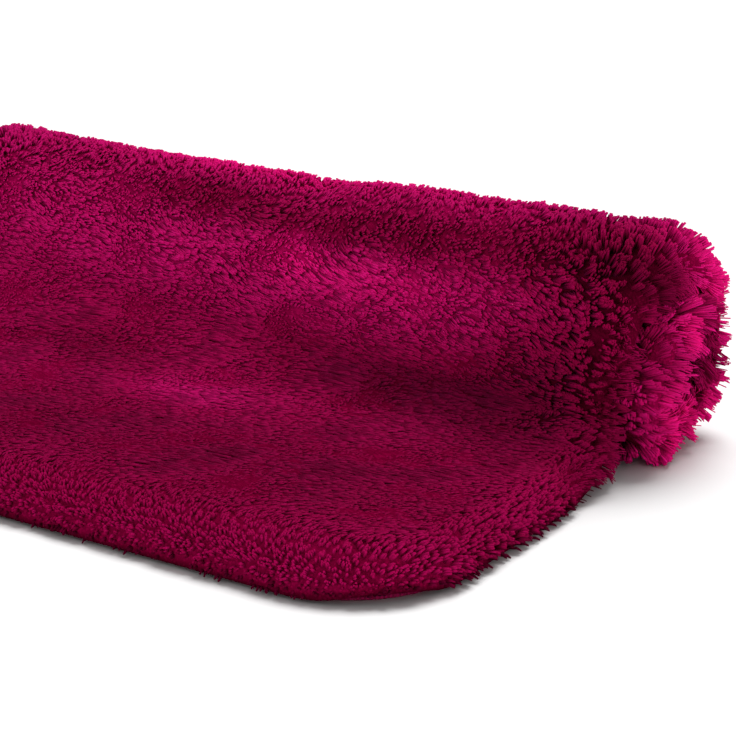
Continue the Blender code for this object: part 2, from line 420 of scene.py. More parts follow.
def carried(across, along, above):
    """Where points of the flat mat come to lie in the rolled one, as rows of x, y and z."""
    leftness = np.clip(0.5 - across / CLOTH_WIDTH, 0.0, 1.0)[:, None]
    (right_place, right_way), (left_place, left_way) = (s.at(along) for s in SECTIONS)
    place = right_place + (left_place - right_place) * leftness
    way = right_way + (left_way - right_way) * leftness
    way /= np.linalg.norm(way, axis=1)[:, None]
    y = place[:, 0] - way[:, 1] * above
    z = place[:, 1] + way[:, 0] * above
    x = across + depth_at(along, "skew") * (1 - leftness[:, 0])
    return np.stack([x, y, z], axis=1) + np.array(MIDDLE)


# --- the flat mat -----------------------------------------------------------------------------


def edge_of(across, along):
    """How far inside the cloth's edge points lie, and the way outwards from there."""
    from_ends = np.minimum(along, CLOTH_LENGTH - along)
    from_sides = CLOTH_WIDTH / 2 - np.abs(across)
    side = np.where(across < 0, -1.0, 1.0)
    end = np.where(along < CLOTH_LENGTH / 2, -1.0, 1.0)
    over_end = np.maximum(CORNER_RADIUS - from_ends, 0.0)
    over_side = np.maximum(CORNER_RADIUS - from_sides, 0.0)
    cornered = (over_end > 0) & (over_side > 0)
    far = np.hypot(over_end, over_side)
    inside = np.where(cornered, CORNER_RADIUS - far, np.minimum(from_ends, from_sides))
    nearer_side = from_sides < from_ends
    out_side = np.where(cornered, over_side / np.maximum(far, 1e-9), nearer_side)
    out_end = np.where(cornered, over_end / np.maximum(far, 1e-9), ~nearer_side)
    return inside, np.stack([out_side * side, out_end * end], axis=1)


class Drift:
    """A smooth random field over the cloth, mostly within -1 to 1, with waves of about one size."""

    def __init__(self, wave, seed, count=16):
        chance = np.random.default_rng(seed)
        turn = chance.uniform(0, 2 * math.pi, count)
        pace = 2 * math.pi / (wave * chance.uniform(0.65, 1.6, count))
        shift = chance.uniform(0, 6.28, count)
        self.waves = list(zip(np.cos(turn) * pace, np.sin(turn) * pace, shift))

    def __call__(self, across, along):
        total = sum(np.sin(a * across + b * along + c) for a, b, c in self.waves)
        return total / math.sqrt(len(self.waves))


def scatter(first, second, seed):
    """Numbers from 0 to 1 that depend only on two whole numbers and a seed."""
    mixed = np.sin(first * 12.9898 + second * 78.233 + seed * 37.719) * 43758.5453
    return mixed - np.floor(mixed)


def nearest(cluster, across, along):
    """The middle of the nearest tuft of a loose grid, and two random numbers that are its own."""
    pitch, seed = cluster.pitch, cluster.seed
    column, row = np.floor(across / pitch), np.floor(along / pitch)
    best = np.full(len(across), np.inf)
    middle = np.zeros((len(across), 2))
    own = np.zeros((len(across), 2))
    for over in (-1, 0, 1):
        for up in (-1, 0, 1):
            c, r = column + over, row + up
            at = np.stack(
                [
                    (c + 0.1 + 0.8 * scatter(c, r, seed)) * pitch,
                    (r + 0.1 + 0.8 * scatter(c, r, seed + 1)) * pitch,
                ],
                axis=1,
            )
            far = np.hypot(at[:, 0] - across, at[:, 1] - along)
            closer = far < best
            best = np.where(closer, far, best)
            middle[closer] = at[closer]
            its_own = np.stack([scatter(c, r, seed + 2), scatter(c, r, seed + 3)], axis=1)
            own[closer] = its_own[closer]
    return middle, own


def hem_shows(across, along):
    """1 at the place by the front corner where the hem shows under the pile, and 0 around it."""
    far = np.hypot(across / MM - HEM_AT.across, along / MM - HEM_AT.along) / HEM_AT.reach
    return np.exp(-(far**4))


def end_of_roll(across, along):
    """1 near the two ends of the roll, fading to 0 further in and on the flat part."""
    return faded(along, ON_ROLL) * faded(np.abs(across), NEAR_END)


def seen_depth(across, along):
    """How deep one sees into the pile."""
    return depth_at(along, "showing") * (1 + END_SHOWING * end_of_roll(across, along))


def pile_height(across, along):
    return depth_at(along, "height") + swell_at(across, along)


# --- the strands on the flat mat --------------------------------------------------------------


def fan_at(inside):
    """0 where the strands stand upright, and up to 1 for the outermost of those that fan out."""
    return np.clip(1 - (inside - HEM_CLEAR) / FAN_WIDTH, 0.0, 1.0)


def strand_roots(chance):
    """Where the strands are sewn through the cloth."""
    rows = []
    along = HEM_CLEAR
    while along < CLOTH_LENGTH - HEM_CLEAR:
        gap = float(depth_at(np.array([along]), "gap")[0])
        count = int(CLOTH_WIDTH / gap)
        place = np.arange(count) + 0.5 + 0.5 * (len(rows) % 2)
        across = place / count * CLOTH_WIDTH - CLOTH_WIDTH / 2
        stray_across, stray_along = (chance.uniform(-s, s, count) * gap for s in ROOT_STRAY)
        rows.append(np.stack([across + stray_across, along + stray_along], axis=1))
        along += gap
    roots = np.concatenate(rows)

    # More of them where they fan out, since they have more room to fill there.
    inside, _ = edge_of(*roots.T)
    fans_out = (inside > HEM_CLEAR) & (inside < FAN_WIDTH + HEM_CLEAR)
    wanted = inside / FAN_WIDTH * (RIM_EXTRA + ROLL_EXTRA * (roots[:, 1] > ROLL_FROM))
    times = (wanted * fans_out + chance.random(len(roots))).astype(int) * fans_out
    more = np.repeat(roots, times, axis=0)
    stray = chance.uniform(-1.0, 1.0, more.shape) * EXTRA_ROOT_STRAY
    roots = np.concatenate([roots, more + stray])
    inside, _ = edge_of(*roots.T)
    near_side = CLOTH_WIDTH / 2 - np.abs(roots[:, 0]) < INSIDE_SHOWS
    return roots[(inside > HEM_CLEAR) & ((roots[:, 1] < INSIDE_FROM) | near_side)]


def lean_of(roots, lock, lock_own, tuft, tuft_own, parting, chance):
    """How far over from its root the tip of each strand lies."""
    across, along = roots.T
    lean = np.stack([depth_at(along, "over_across"), depth_at(along, "over_along")], axis=1)
    change = Drift(LEAN_CHANGE.wave, LEAN_CHANGE.seed)(across, along)
    lean = lean * (1 + LEAN_CHANGE.share * change)[:, None]
    lean[:, 0] *= soft_step((across + CLOTH_WIDTH / 2) / LEFT_UPRIGHT)
    for push in PUSHES:
        ways = [Drift(push.wave, seed)(across, along) for seed in (push.seed, push.seed + 1)]
        lean += np.stack(ways, axis=1) * push.share * parting[:, None]
    lock_draw = LOCKS.draw + END_LOCK_DRAW * end_of_roll(across, along)
    lean += lock_draw[:, None] * (lock - roots)
    lean += (lock_own - 0.5) * LOCKS.part * parting[:, None]
    lean += TUFTS.draw * (tuft - roots) + (tuft_own - 0.5) * TUFTS.part * parting[:, None]
    return lean + chance.normal(0.0, LEAN_STRAY, lean.shape)


def fanned(fan, inside, tall, low, lock_own, tuft_own, along, edge, chance):
    """How far the strands turn outwards, how far out their tips come and how high they end."""
    lock_wide, lock_high = (lock_own - 0.5).T
    tuft_wide, tuft_high = (tuft_own - 0.5).T
    turn = 1 + edge.tuft_turn * tuft_high + chance.normal(0.0, TURN_STRAY, len(fan)) * edge.loose
    turn = turn + edge.lock_turn * lock_high
    curl = edge.curl + CROWN_CURL * faded(along, PAST_CROWN) + INNER_CURL * faded(along, INNER_TURN)
    angle = math.pi / 2 * fan * curl * turn
    reach = depth_at(along, "reach") + lock_wide * edge.lock_reach + tuft_wide * edge.tuft_reach
    reach = reach + chance.normal(0.0, REACH_STRAY, len(fan)) * edge.loose
    turned = np.cos(angle)
    width = np.where(turned > 0, FAN_WIDTH + HEM_CLEAR + reach, CURL_WIDTH)
    out = (inside + reach - width * (1 - np.sin(angle))) * (fan > 0)
    top = low + (tall - low) * np.maximum(turned, 0.0) ** edge.rounder
    return angle, out, top + CURL_DROP * np.minimum(turned, 0.0)


def cut_off(fan, lock_own, tuft_own, parting, chance):
    """How much shorter the uneven cut ends are, less so in the fan."""
    uneven = (CUT_UNEVEN + CUT_PARTED * parting) * np.abs(chance.normal(0.0, 1.0, len(fan)))
    clustered = LOCK_CUT * lock_own[:, 1] - TUFT_CUT * (tuft_own[:, 1] - 0.5)
    return uneven * (1 - CUT_LESS * fan) + clustered * parting * (1 - fan)


def shows_from(fan, hidden_height, top, bend_height):
    """How far up each strand it clears the close lower pile. Only what does is made."""
    reached = np.maximum(top, MM)
    hidden = np.clip(hidden_height / reached, 0.0, UPRIGHT_BEND)
    bent = np.clip(bend_height / reached, 0.5, UPRIGHT_BEND)
    start = hidden / (bent + np.sqrt(np.maximum(bent**2 - (2 * bent - 1) * hidden, 0.0)))
    return start * (1 - soft_step(WHOLE_SETS_IN * fan))


def tones_of(tuft_own, parting, chance):
    """How much lighter or darker each strand is than the rest, from -1 to 1."""
    tone = STRAND_TONE * chance.normal(0.0, 0.5, len(parting))
    tone = tone + TUFT_TONE * 2 * (tuft_own[:, 1] - 0.5)
    parted = np.clip(parting / FULL_TONE_PARTING, 0.0, 1.0)
    return np.clip(tone * (LEAST_TONE + (1 - LEAST_TONE) * parted), -1, 1)


def painted_shading_of(across, along, fan):
    """How many times lighter each strand is made by painted light and shade: the broad patches,
    painted shade low down at the rim of the flat part and deep in the inner turn, and painted light
    on the rest of that rim.
    """
    on_flat = 1 - faded(along, ON_ROLL)
    painted_low_shade = faded(fan, LOW_DOWN) * on_flat
    painted_deep_shade = faded(along, INNER_TURN) * (1 - faded(fan, OUT_OF_DEEP))
    nap = painted_shading_at(across, along) * (1 - LOW_PAINTED_SHADE * painted_low_shade) * (1 - DEEP_PAINTED_SHADE * painted_deep_shade)
    return nap * (1 + RIM_PAINTED_LIGHT * faded(fan, INTO_RIM) * on_flat)


Strands = namedtuple("Strands", "feet bends tips start tone nap fan")


def pile_strands():
    """Every strand: its foot, the point it bends towards, its tip, how far up it starts to show,
    its own tone, its painted light and shade and how far out it stands in the fan."""
    chance = np.random.default_rng(PLACE_SEED)
    roots = strand_roots(chance)
    across, along = roots.T
    on_roll = faded(along, ON_ROLL)
    edge = Fan(*(flat + (roll - flat) * on_roll for flat, roll in zip(FLAT_FAN, ROLL_FAN)))
    parting = depth_at(along, "parting") * (1 + END_PARTING * end_of_roll(across, along))

    # They gather in tufts, the more so in the fan.
    fan = fan_at(edge_of(across, along)[0])
    lock, lock_own = nearest(LOCKS, across, along)
    at_rim = ((along < ROLL_FROM) & (fan > 0))[:, None]
    tuft, tuft_own = (
        np.where(at_rim, knob, plain)
        for knob, plain in zip(nearest(KNOBS, across, along), nearest(TUFTS, across, along))
    )
    gather = edge.gather * soft_step(FAN_SETS_IN * fan)
    gathered = roots + gather[:, None] * (tuft - roots)
    inside, outward = edge_of(*gathered.T)
    fan = fan_at(inside)

    # Towards the edge they turn outwards, all to one rounded outline; on the roll they curl round.
    lean = lean_of(roots, lock, lock_own, tuft, tuft_own, parting, chance)
    tall = pile_height(across, along)
    low = RIM_LOW + HEM_GAP * hem_shows(across, along)
    angle, out, top = fanned(fan, inside, tall, low, lock_own, tuft_own, along, edge, chance)
    top = top - cut_off(fan, lock_own, tuft_own, parting, chance)
    sway = (lock_own[:, 1] - 0.5) * LOCK_SWAY + (tuft_own[:, 1] - 0.5) * TUFT_SWAY
    sway = (sway + chance.normal(0.0, SWAY_STRAY, len(fan))) * fan * edge.sway
    beside = np.stack([-outward[:, 1], outward[:, 0]], axis=1)
    lean = lean * (1 - LEAN_LESS * np.minimum(LEAN_SETTLES * fan, 1.0))[:, None]
    flat_tips = gathered + lean + outward * out[:, None] + beside * sway[:, None]
    tips = np.column_stack([flat_tips, top])
    feet = np.column_stack([roots, np.full(len(roots), SEWN_AT)])

    # Upright strands bend over close to their tips, and fanned ones halfway.
    bend_share = UPRIGHT_BEND + (FAN_BEND - UPRIGHT_BEND) * soft_step(FAN_SETS_IN * fan)
    bend_far = bend_share * np.linalg.norm(tips - feet, axis=1)
    first = edge.bend * angle
    rise = np.column_stack([outward * np.sin(first)[:, None], np.cos(first)])
    bends = feet + rise * bend_far[:, None]

    hidden_height = tall - seen_depth(across, along) - SUNK
    start = shows_from(fan, hidden_height, top, bends[:, 2])
    tone = tones_of(tuft_own, parting, chance)
    return Strands(feet, bends, tips, start, tone, painted_shading_of(across, along, fan), fan)


# The rings of a strand: how far up its visible part each is, and its girth there.
Ring = namedtuple("Ring", "up girth")
Make = namedtuple("Make", "radius sides rings")
PLAIN = Make(STRAND_RADIUS, 3, [Ring(0.0, 0.90), Ring(1.0, 0.95)])
FRINGE = Make(FRINGE_RADIUS, 3, [Ring(0.0, 0.90), Ring(0.55, 1.0), Ring(1.0, 0.75)])
KNOB = Make(KNOB_RADIUS, 4, [Ring(0.0, 0.50), Ring(0.86, 1.0), Ring(1.0, 0.60)])

# How the strands are made whose fan is more than some, on the flat part and on the roll.
Rim = namedtuple("Rim", "make fan_from")
FLAT_RIM = Rim(KNOB, 0.22)
ROLL_RIM = Rim(FRINGE, 0.42)

GIRTH_RANGE = (0.85, 1.15)  # how much the girth of whole strands varies
ASKEW = np.array((0.31, 0.95, 0.10))  # a way that hardly any strand runs, to set out its sides by
CELL_MARGIN = 0.08  # around each strand's cell on the flat plan of the surface, as a share of it


def strand_rings(strands, make, chance):
    """The points of each strand's rings on the flat mat, and how far up the strand they are."""
    feet, bends, tips, start = strands[:4]
    turn = chance.uniform(0, 2 * math.pi, len(feet))
    thick = make.radius * chance.uniform(*GIRTH_RANGE, len(feet))
    chord = tips - feet
    chord /= np.linalg.norm(chord, axis=1)[:, None]
    side = np.cross(chord, ASKEW)
    side /= np.linalg.norm(side, axis=1)[:, None]
    other = np.cross(chord, side)
    points, ups = [], []
    for ring in make.rings:
        t = (start + (1 - start) * ring.up)[:, None]
        middle = (1 - t) ** 2 * feet + 2 * t * (1 - t) * bends + t * t * tips
        for k in range(make.sides):
            angle = turn + 2 * math.pi * k / make.sides
            out = side * np.cos(angle)[:, None] + other * np.sin(angle)[:, None]
            points.append(middle + out * (thick * ring.girth)[:, None])
            ups.append(t[:, 0])
    return np.stack(points, axis=1), np.stack(ups, axis=1)


def strand_faces(make):
    """The triangles of one strand, and where their corners lie in its cell of the flat plan."""
    sides, rings = make.sides, make.rings
    faces, corners = [], []
    for level in range(len(rings) - 1):
        low, high = rings[level].up, rings[level + 1].up
        for k in range(sides):
            a, b = level * sides + k, level * sides + (k + 1) % sides
            faces += [(a, b, b + sides), (a, b + sides, a + sides)]
            corners.append(((k, low), (k + 1, low), (k + 1, high)))
            corners.append(((k, low), (k + 1, high), (k, high)))

    # The small faces that close it lie just below and above its cell's own strip.
    last = (len(rings) - 1) * sides
    for k in range(1, sides - 1):
        faces.append((0, k + 1, k))
        corners.append(((k - 0.8, -0.01), (k - 0.2, -0.01), (k - 0.5, -0.05)))
    for k in range(1, sides - 1):
        faces.append((last, last + k, last + k + 1))
        corners.append(((k - 0.8, 1.01), (k - 0.2, 1.01), (k - 0.5, 1.05)))
    corners = np.array(corners, dtype=float)
    corners[..., 0] /= sides
    return np.array(faces), corners


def strand_mesh(name, strands, make, chance):
    """Strands as one mesh, each of a few rings, closed at its root and cut off blunt."""
    points, ups = strand_rings(strands, make, chance)
    count, each = ups.shape
    places = points.reshape(-1, 3)
    places = carried(places[:, 0], places[:, 1], places[:, 2])
    places[:, 2] = np.maximum(places[:, 2], LOWEST)
    faces, corners = strand_faces(make)
    all_faces = (np.arange(count)[:, None, None] * each + faces[None]).reshape(-1, 3)

    mesh = bpy.data.meshes.new(name)
    mesh.vertices.add(len(places))
    mesh.vertices.foreach_set("co", places.astype(np.float32).ravel())
    mesh.loops.add(all_faces.size)
    mesh.loops.foreach_set("vertex_index", all_faces.astype(np.int32).ravel())
    mesh.polygons.add(len(all_faces))
    mesh.polygons.foreach_set("loop_start", np.arange(0, all_faces.size, 3, dtype=np.int32))
    mesh.update(calc_edges=True)
    mesh.validate()
    cut_end = np.tile(np.arange(len(faces)) >= len(faces) - (make.sides - 2), count)
    mesh.polygons.foreach_set("use_smooth", ~cut_end)
    ends = mesh.attributes.new("cut_end", "FLOAT", "FACE")
    ends.data.foreach_set("value", cut_end.astype(np.float32))

    # Each strand has a cell of its own on the flat plan of the surface.
    cells = math.ceil(math.sqrt(count))
    cell = np.stack([np.arange(count) % cells, np.arange(count) // cells], axis=1)
    plan = cell[:, None, None] + CELL_MARGIN + (1 - 2 * CELL_MARGIN) * corners[None]
    layer = mesh.uv_layers.new(name="OFBake")
    layer.uv.foreach_set("vector", (plan / cells).astype(np.float32).ravel())
    # Each point keeps how far up its strand it lies, the strand's tone and its painted light and
    # shade.
    for label, values in (
        ("up", ups.ravel()),
        ("tone", np.repeat(strands.tone, each)),
        ("nap", np.repeat(strands.nap, each)),
    ):
        attribute = mesh.attributes.new(label, "FLOAT", "POINT")
        attribute.data.foreach_set("value", values.astype(np.float32))
    return added(name, mesh)


def make_pile():
    """The strands, as one piece for each run along the cloth and one for its fringe."""
    strands = pile_strands()
    along = strands.feet[:, 1]
    chance = np.random.default_rng(MAKE_SEED)
    pieces = []
    since = -1.0
    for run in PILE_RUNS:
        here = (along > since) & (along <= run.up_to)
        since = run.up_to
        rim = ROLL_RIM if run.up_to > ROLL_FROM else FLAT_RIM
        for kind, make, which in (
            ("", PLAIN, here & (strands.fan <= rim.fan_from)),
            ("_fringe", rim.make, here & (strands.fan > rim.fan_from)),
        ):
            some = Strands(*(values[which] for values in strands))
            pieces.append(strand_mesh(run.name + kind, some, make, chance))
    return pieces


# --- the cloth and the close pile -------------------------------------------------------------


# How finely the cloth and the lower pile are divided: the places of the rows next to each edge,
# and the steps between those.
Grid = namedtuple("Grid", "rim step_along step_across")
CLOTH_GRID = Grid((0.0, 0.0007, 0.0022, 0.0045, 0.0062, 0.0072, 0.0092), 0.0085, 0.0200)
BED_GRID = Grid((0.0, 0.0004, 0.0012, 0.0026, 0.0050, 0.0085, 0.0135, 0.0200), 0.0066, 0.0075)

# How much painted shade darkens the lower pile: at its very edge on the flat part, and deep in the
# roll, which is its inner turn some way in from the edge and, by a share, the two ends of the roll.
BED_EDGE_PAINTED_SHADE = 0.70
BED_EDGE_WIDTH = 0.0004
BED_DEEP_PAINTED_SHADE = 0.75
BED_WAY_IN = Fade(0.003, 0.010)
BED_END_PAINTED_SHADE = 0.65
BED_RIM_SETS_IN = 1.6  # how soon it looks knobbly towards the edge


def half_width(along, overhang):
    """Half the width of the rounded outline, grown by overhang, at a length along the cloth."""
    radius = CORNER_RADIUS + overhang
    from_end = min(along + overhang, CLOTH_LENGTH + overhang - along)
    reach = CLOTH_WIDTH / 2 + overhang
    if from_end >= radius:
        return reach
    return reach - radius + math.sqrt(max(0.0, radius**2 - (radius - from_end) ** 2))


def close_then_even(rim, total, step):
    """Places from one edge to the other: the rim's own next to both, and even ones between."""
    count = math.ceil((total - 2 * rim[-1]) / step)
    even = [rim[-1] + (total - 2 * rim[-1]) * i / count for i in range(1, count)]
    return list(rim) + even + [total - place for place in reversed(rim)]


def slab_shades(across, along, inside):
    """The painted light and shade on the lower pile (the broad patches, and painted shade at its
    very edge on the flat part and deep in the roll), and how near the rim it lies, from 0 to 1.
    """
    painted_edge_shade = np.clip(1 - inside / BED_EDGE_WIDTH, 0.0, 1.0) * (along < ROLL_FROM)
    painted_deep_shade = faded(along, INNER_TURN) * faded(inside, BED_WAY_IN)
    painted_deep_shade = np.maximum(painted_deep_shade, BED_END_PAINTED_SHADE * end_of_roll(across, along))
    light = painted_shading_at(across, along) * (1 - BED_EDGE_PAINTED_SHADE * painted_edge_shade) * (1 - BED_DEEP_PAINTED_SHADE * painted_deep_shade)
    return light, soft_step(BED_RIM_SETS_IN * (1 - inside / FAN_WIDTH))


def laid_slab(name, grid, overhang, side_overhang, top, under):
    """A slab of the cloth's outline, carried onto the roll. top and under give the heights of its
    two sides, and side_overhang how far it stands out past the cloth's sides."""
    slab = bmesh.new()
    rows = close_then_even(grid.rim, CLOTH_LENGTH + 2 * overhang, grid.step_along)
    width = CLOTH_WIDTH + 2 * overhang
    columns = close_then_even(grid.rim, width, grid.step_across)
    bmesh.ops.create_grid(slab, x_segments=len(columns) - 1, y_segments=len(rows) - 1, size=1.0)
    for point in slab.verts:
        column = round((point.co.x + 1) / 2 * (len(columns) - 1))
        along = rows[round((point.co.y + 1) / 2 * (len(rows) - 1))] - overhang
        share = 2 * columns[column] / width - 1
        past = float(side_overhang(np.array([along]))[0]) - overhang
        point.co = (share * (half_width(along, overhang) + past), along, 0.0)
    raised = bmesh.ops.extrude_face_region(slab, geom=slab.faces[:])
    for item in raised["geom"]:
        if isinstance(item, bmesh.types.BMVert):
            item.co.z = 1.0
    across, along, level = np.array([point.co[:] for point in slab.verts]).T
    inside, outward = edge_of(across, along)
    past = side_overhang(along) - overhang
    inside = inside + overhang + past * np.abs(outward[:, 0])
    above = np.where(level > 0.5, top(across, along, inside), under(across, along, inside))
    for point, place in zip(slab.verts, carried(across, along, above)):
        point.co = place
    bmesh.ops.recalc_face_normals(slab, faces=slab.faces[:])

    plan = slab.loops.layers.uv.new("laid_flat")
    # Each point keeps its painted light and shade and how near the rim it lies.
    nap, rim = slab.verts.layers.float.new("nap"), slab.verts.layers.float.new("rim")
    slab.verts.index_update()
    for point, light, nearness in zip(slab.verts, *slab_shades(across, along, inside)):
        point[nap], point[rim] = light, nearness
    for face in slab.faces:
        for corner in face.loops:
            corner[plan].uv = across[corner.vert.index], along[corner.vert.index]
    mesh = bpy.data.meshes.new(name)
    slab.to_mesh(mesh)
    slab.free()
    mesh.shade_smooth()
    return added(name, mesh)


def make_base_cloth():
    """The cloth that the pile is sewn through, with its edge turned over into a hem."""

    def rounded(inside):
        return HEM_ROUND * np.clip(1 - inside / HEM_ROUND_WIDTH, 0.0, 1.0) ** 2

    def top(across, along, inside):
        hem = (HEM_THICKNESS - CLOTH_THICKNESS) * soft_step((HEM_WIDTH - inside) / HEM_STEP)
        return CLOTH_THICKNESS + hem - rounded(inside)

    def under(across, along, inside):
        return rounded(inside)

    return laid_slab("base_cloth", CLOTH_GRID, 0.0, np.zeros_like, top, under)


def make_pile_bed():
    """The close lower pile, seen only as depth between the strands."""
    fan_width = FAN_WIDTH + HEM_CLEAR + BED_REACH

    def past_sides(along):
        return np.minimum(depth_at(along, "reach") - BED_SETBACK, BED_REACH)

    def top(across, along, inside):
        tall = pile_height(across, along) - seen_depth(across, along)
        for change in BED_CHANGES:
            tall = tall - change.share * Drift(change.wave, change.seed)(across, along)
        out = np.clip(1 - inside / fan_width, 0.0, 1.0)
        rounder = FLAT_BED_ROUND + (ROLL_BED_ROUND - FLAT_BED_ROUND) * faded(along, ON_ROLL)
        low = RIM_LOW + HEM_GAP * hem_shows(across, along)
        return low + (tall - low) * (1 - out * out) ** rounder

    def under(across, along, inside):
        low = RIM_LOW - BED_EDGE + HEM_GAP * hem_shows(across, along)
        return np.where(inside < BED_OVER, low, CLOTH_THICKNESS + BED_CLEAR)

    return laid_slab("pile_bed", BED_GRID, BED_REACH, past_sides, top, under)


# --- finishes ---------------------------------------------------------------------------------


class Wire:
    """A socket of a material's nodes that takes part in sums."""

    def __init__(self, finish, socket):
        self.finish, self.socket = finish, socket

    def _sum(self, operation, first, second):
        return self.finish.node("ShaderNodeMath", {"operation": operation}, {0: first, 1: second})

    def __add__(self, other):
        return self._sum("ADD", self, other)

    __radd__ = __add__

    def __sub__(self, other):
        return self._sum("SUBTRACT", self, other)

    def __rsub__(self, other):
        return self._sum("SUBTRACT", other, self)

    def __mul__(self, other):
        return self._sum("MULTIPLY", self, other)

    __rmul__ = __mul__


def rgb(red, green, blue):
    return (red, green, blue, 1.0)


# painted shade: the dark plum the yarn turns towards low down in the pile and in the grooves of the
# lower pile
SHADED_PLUM = rgb(0.100, 0.0003, 0.018)
# painted shade: the blunt cut ends of the strands are a little darker, for the shade inside a cut
# end
SHADED_CUT_END = rgb(0.235, 0.0007, 0.046)
MAGENTA = rgb(0.252, 0.0016, 0.054)
# partly random tone, partly painted highlight: the lighter pink that lighter-toned strands take
# near their tips
LIGHT_TONE_AND_HIGHLIGHT = rgb(0.365, 0.0040, 0.106)
BED_YARN = rgb(0.228, 0.0010, 0.046)
SHEEN = rgb(1.0, 0.03, 0.35)
CANVAS_DARK = rgb(0.050, 0.0002, 0.009)
CANVAS_LIGHT = rgb(0.120, 0.0006, 0.024)
CANVAS_WORN = rgb(0.160, 0.0010, 0.036)
FLOOR_GREY = rgb(0.76, 0.76, 0.76)
FLOOR_PALE = rgb(0.78, 0.78, 0.78)
WHITE = rgb(1.0, 1.0, 1.0)

# Painted shade: the redder, less blue tint given to the yarn where the painted shading darkens it,
# and the values of that shading over which the tint fades out.
SHADE_TINT = rgb(0.96, 0.45, 0.72)
SHADE_TINT_RANGE = (0.50, 1.05)


class Finish:
    """A material being made."""

    def __init__(self, name):
        self.material = bpy.data.materials.new(name)
        self.material.use_nodes = True
        self.tree = self.material.node_tree
        self.shader = self.tree.nodes["Principled BSDF"]

    def node(self, kind, settings=None, sockets=None, gives=0):
        """A node with its settings and sockets filled in, as a wire from one of its outputs."""
        made = self.tree.nodes.new(kind)
        for key, value in (settings or {}).items():
            setattr(made, key, value)
        self.fill(made, sockets or {})
        return Wire(self, made.outputs[gives])

    def fill(self, made, sockets):
        for key, value in sockets.items():
            if isinstance(value, Wire):
                self.tree.links.new(value.socket, made.inputs[key])
            else:
                made.inputs[key].default_value = value

    def kept(self, name):
        """A value that the mesh keeps for each of its points or faces."""
        return self.node("ShaderNodeAttribute", {"attribute_name": name}, gives="Fac")

    def laid_flat(self):
        """Places on the mat laid flat."""
        return self.node("ShaderNodeUVMap", {"uv_map": "laid_flat"}, gives="UV")

    def blend(self, share, first, second, way="MIX"):
        """Two colours mixed."""
        return self.node(
            "ShaderNodeMix",
            {"data_type": "RGBA", "blend_type": way},
            {0: share, 6: first, 7: second},
            gives=2,
        )

    def ease(self, value, low, high, to_low=0.0, to_high=1.0):
        """A value between low and high brought softly to another range."""
        sockets = {"From Min": low, "From Max": high, "To Min": to_low, "To Max": to_high}
        return self.node(
            "ShaderNodeMapRange",
            {"interpolation_type": "SMOOTHSTEP"},
            {"Value": value, **sockets},
        )

    def speckle(self, size, detail=2.0, place=None):
        """Soft noise with blobs of about that size, in metres."""
        place = place or self.node("ShaderNodeTexCoord", gives="Object")
        sockets = {"Vector": place, "Scale": 1.0 / size, "Detail": detail}
        return self.node("ShaderNodeTexNoise", {}, sockets, gives="Fac")

    def bump(self, height, strength, distance):
        sockets = {"Height": height, "Strength": strength, "Distance": distance}
        return self.node("ShaderNodeBump", {}, sockets)

    def with_painted_shading(self, colour):
        """A colour with the painted light and shade on it: scaled by the painted shading, and
        painted redder and less blue where that shading darkens it.
        """
        nap = self.kept("nap")
        tint = self.blend(self.ease(nap, *SHADE_TINT_RANGE), SHADE_TINT, WHITE)
        tinted = self.blend(1.0, colour, tint, "MULTIPLY")
        sockets = {0: tinted, "Scale": nap}
        return self.node("ShaderNodeVectorMath", {"operation": "SCALE"}, sockets)

    def set(self, **sockets):
        self.fill(self.shader, {key.replace("_", " "): value for key, value in sockets.items()})


def yarn_finish():
    finish = Finish("magenta_yarn")
    up, tone = finish.kept("up"), finish.kept("tone")
    patch = finish.speckle(0.055)
    # Painted shade: each strand is darker plum lower down, where it lies deeper in the pile, and
    # lighter towards its tip.
    lit = finish.ease(up + 0.08 * tone, 0.35, 0.92)
    body = finish.blend(lit, SHADED_PLUM, MAGENTA)
    # Partly random tone, partly painted highlight: lighter-toned strands turn a brighter pink, but
    # only near their tips.
    pale = finish.ease(tone + 1.2 * (patch - 0.5), -0.9, 1.2, 0.0, 0.7)
    body = finish.blend(pale * finish.ease(up, 0.70, 1.0), body, LIGHT_TONE_AND_HIGHLIGHT)
    # Painted shade: the cut ends are a little darker.
    colour = finish.blend(0.8 * finish.kept("cut_end"), body, SHADED_CUT_END)
    finish.set(
        Base_Color=finish.with_painted_shading(colour),
        Roughness=0.75,
        Sheen_Weight=0.04,
        Sheen_Roughness=0.45,
        Sheen_Tint=SHEEN,
        Specular_IOR_Level=0.01,
    )
    return finish.material


def deep_pile_finish():
    """The lower yarn, lying close together, and its knobbly cut ends at the rim."""
    finish = Finish("deep_pile")
    lie = finish.node(
        "ShaderNodeMapping",
        {"vector_type": "TEXTURE"},
        {"Vector": finish.laid_flat(), "Rotation": (0.0, 0.0, -0.30), "Scale": (3.6, 1.0, 1.0)},
    )
    yarn = finish.ease(finish.speckle(0.0019, 2.0, lie), 0.34, 0.66)
    place = finish.node("ShaderNodeTexCoord", gives="Object")
    sockets = {"Vector": place, "Scale": 480.0}
    cells = finish.node("ShaderNodeTexVoronoi", {}, sockets, gives="Distance")
    knobs = finish.ease(cells, 0.75, 0.20)
    rim = finish.kept("rim")
    depth = yarn * (1 - rim) + knobs * rim
    smear = finish.speckle(0.007, 3.0)
    # Painted shade with a random mottle: the lower pile is darker plum in the grooves between its
    # yarns and knobs.
    mottle_and_shade = 0.35 + 0.65 * depth * finish.ease(smear, 0.25, 0.75, 0.6, 1.0)
    finish.set(
        Base_Color=finish.with_painted_shading(finish.blend(mottle_and_shade, SHADED_PLUM, BED_YARN)),
        Roughness=0.9,
        Specular_IOR_Level=0.0,
        Normal=finish.bump(depth, 0.6, 0.0012),
    )
    return finish.material


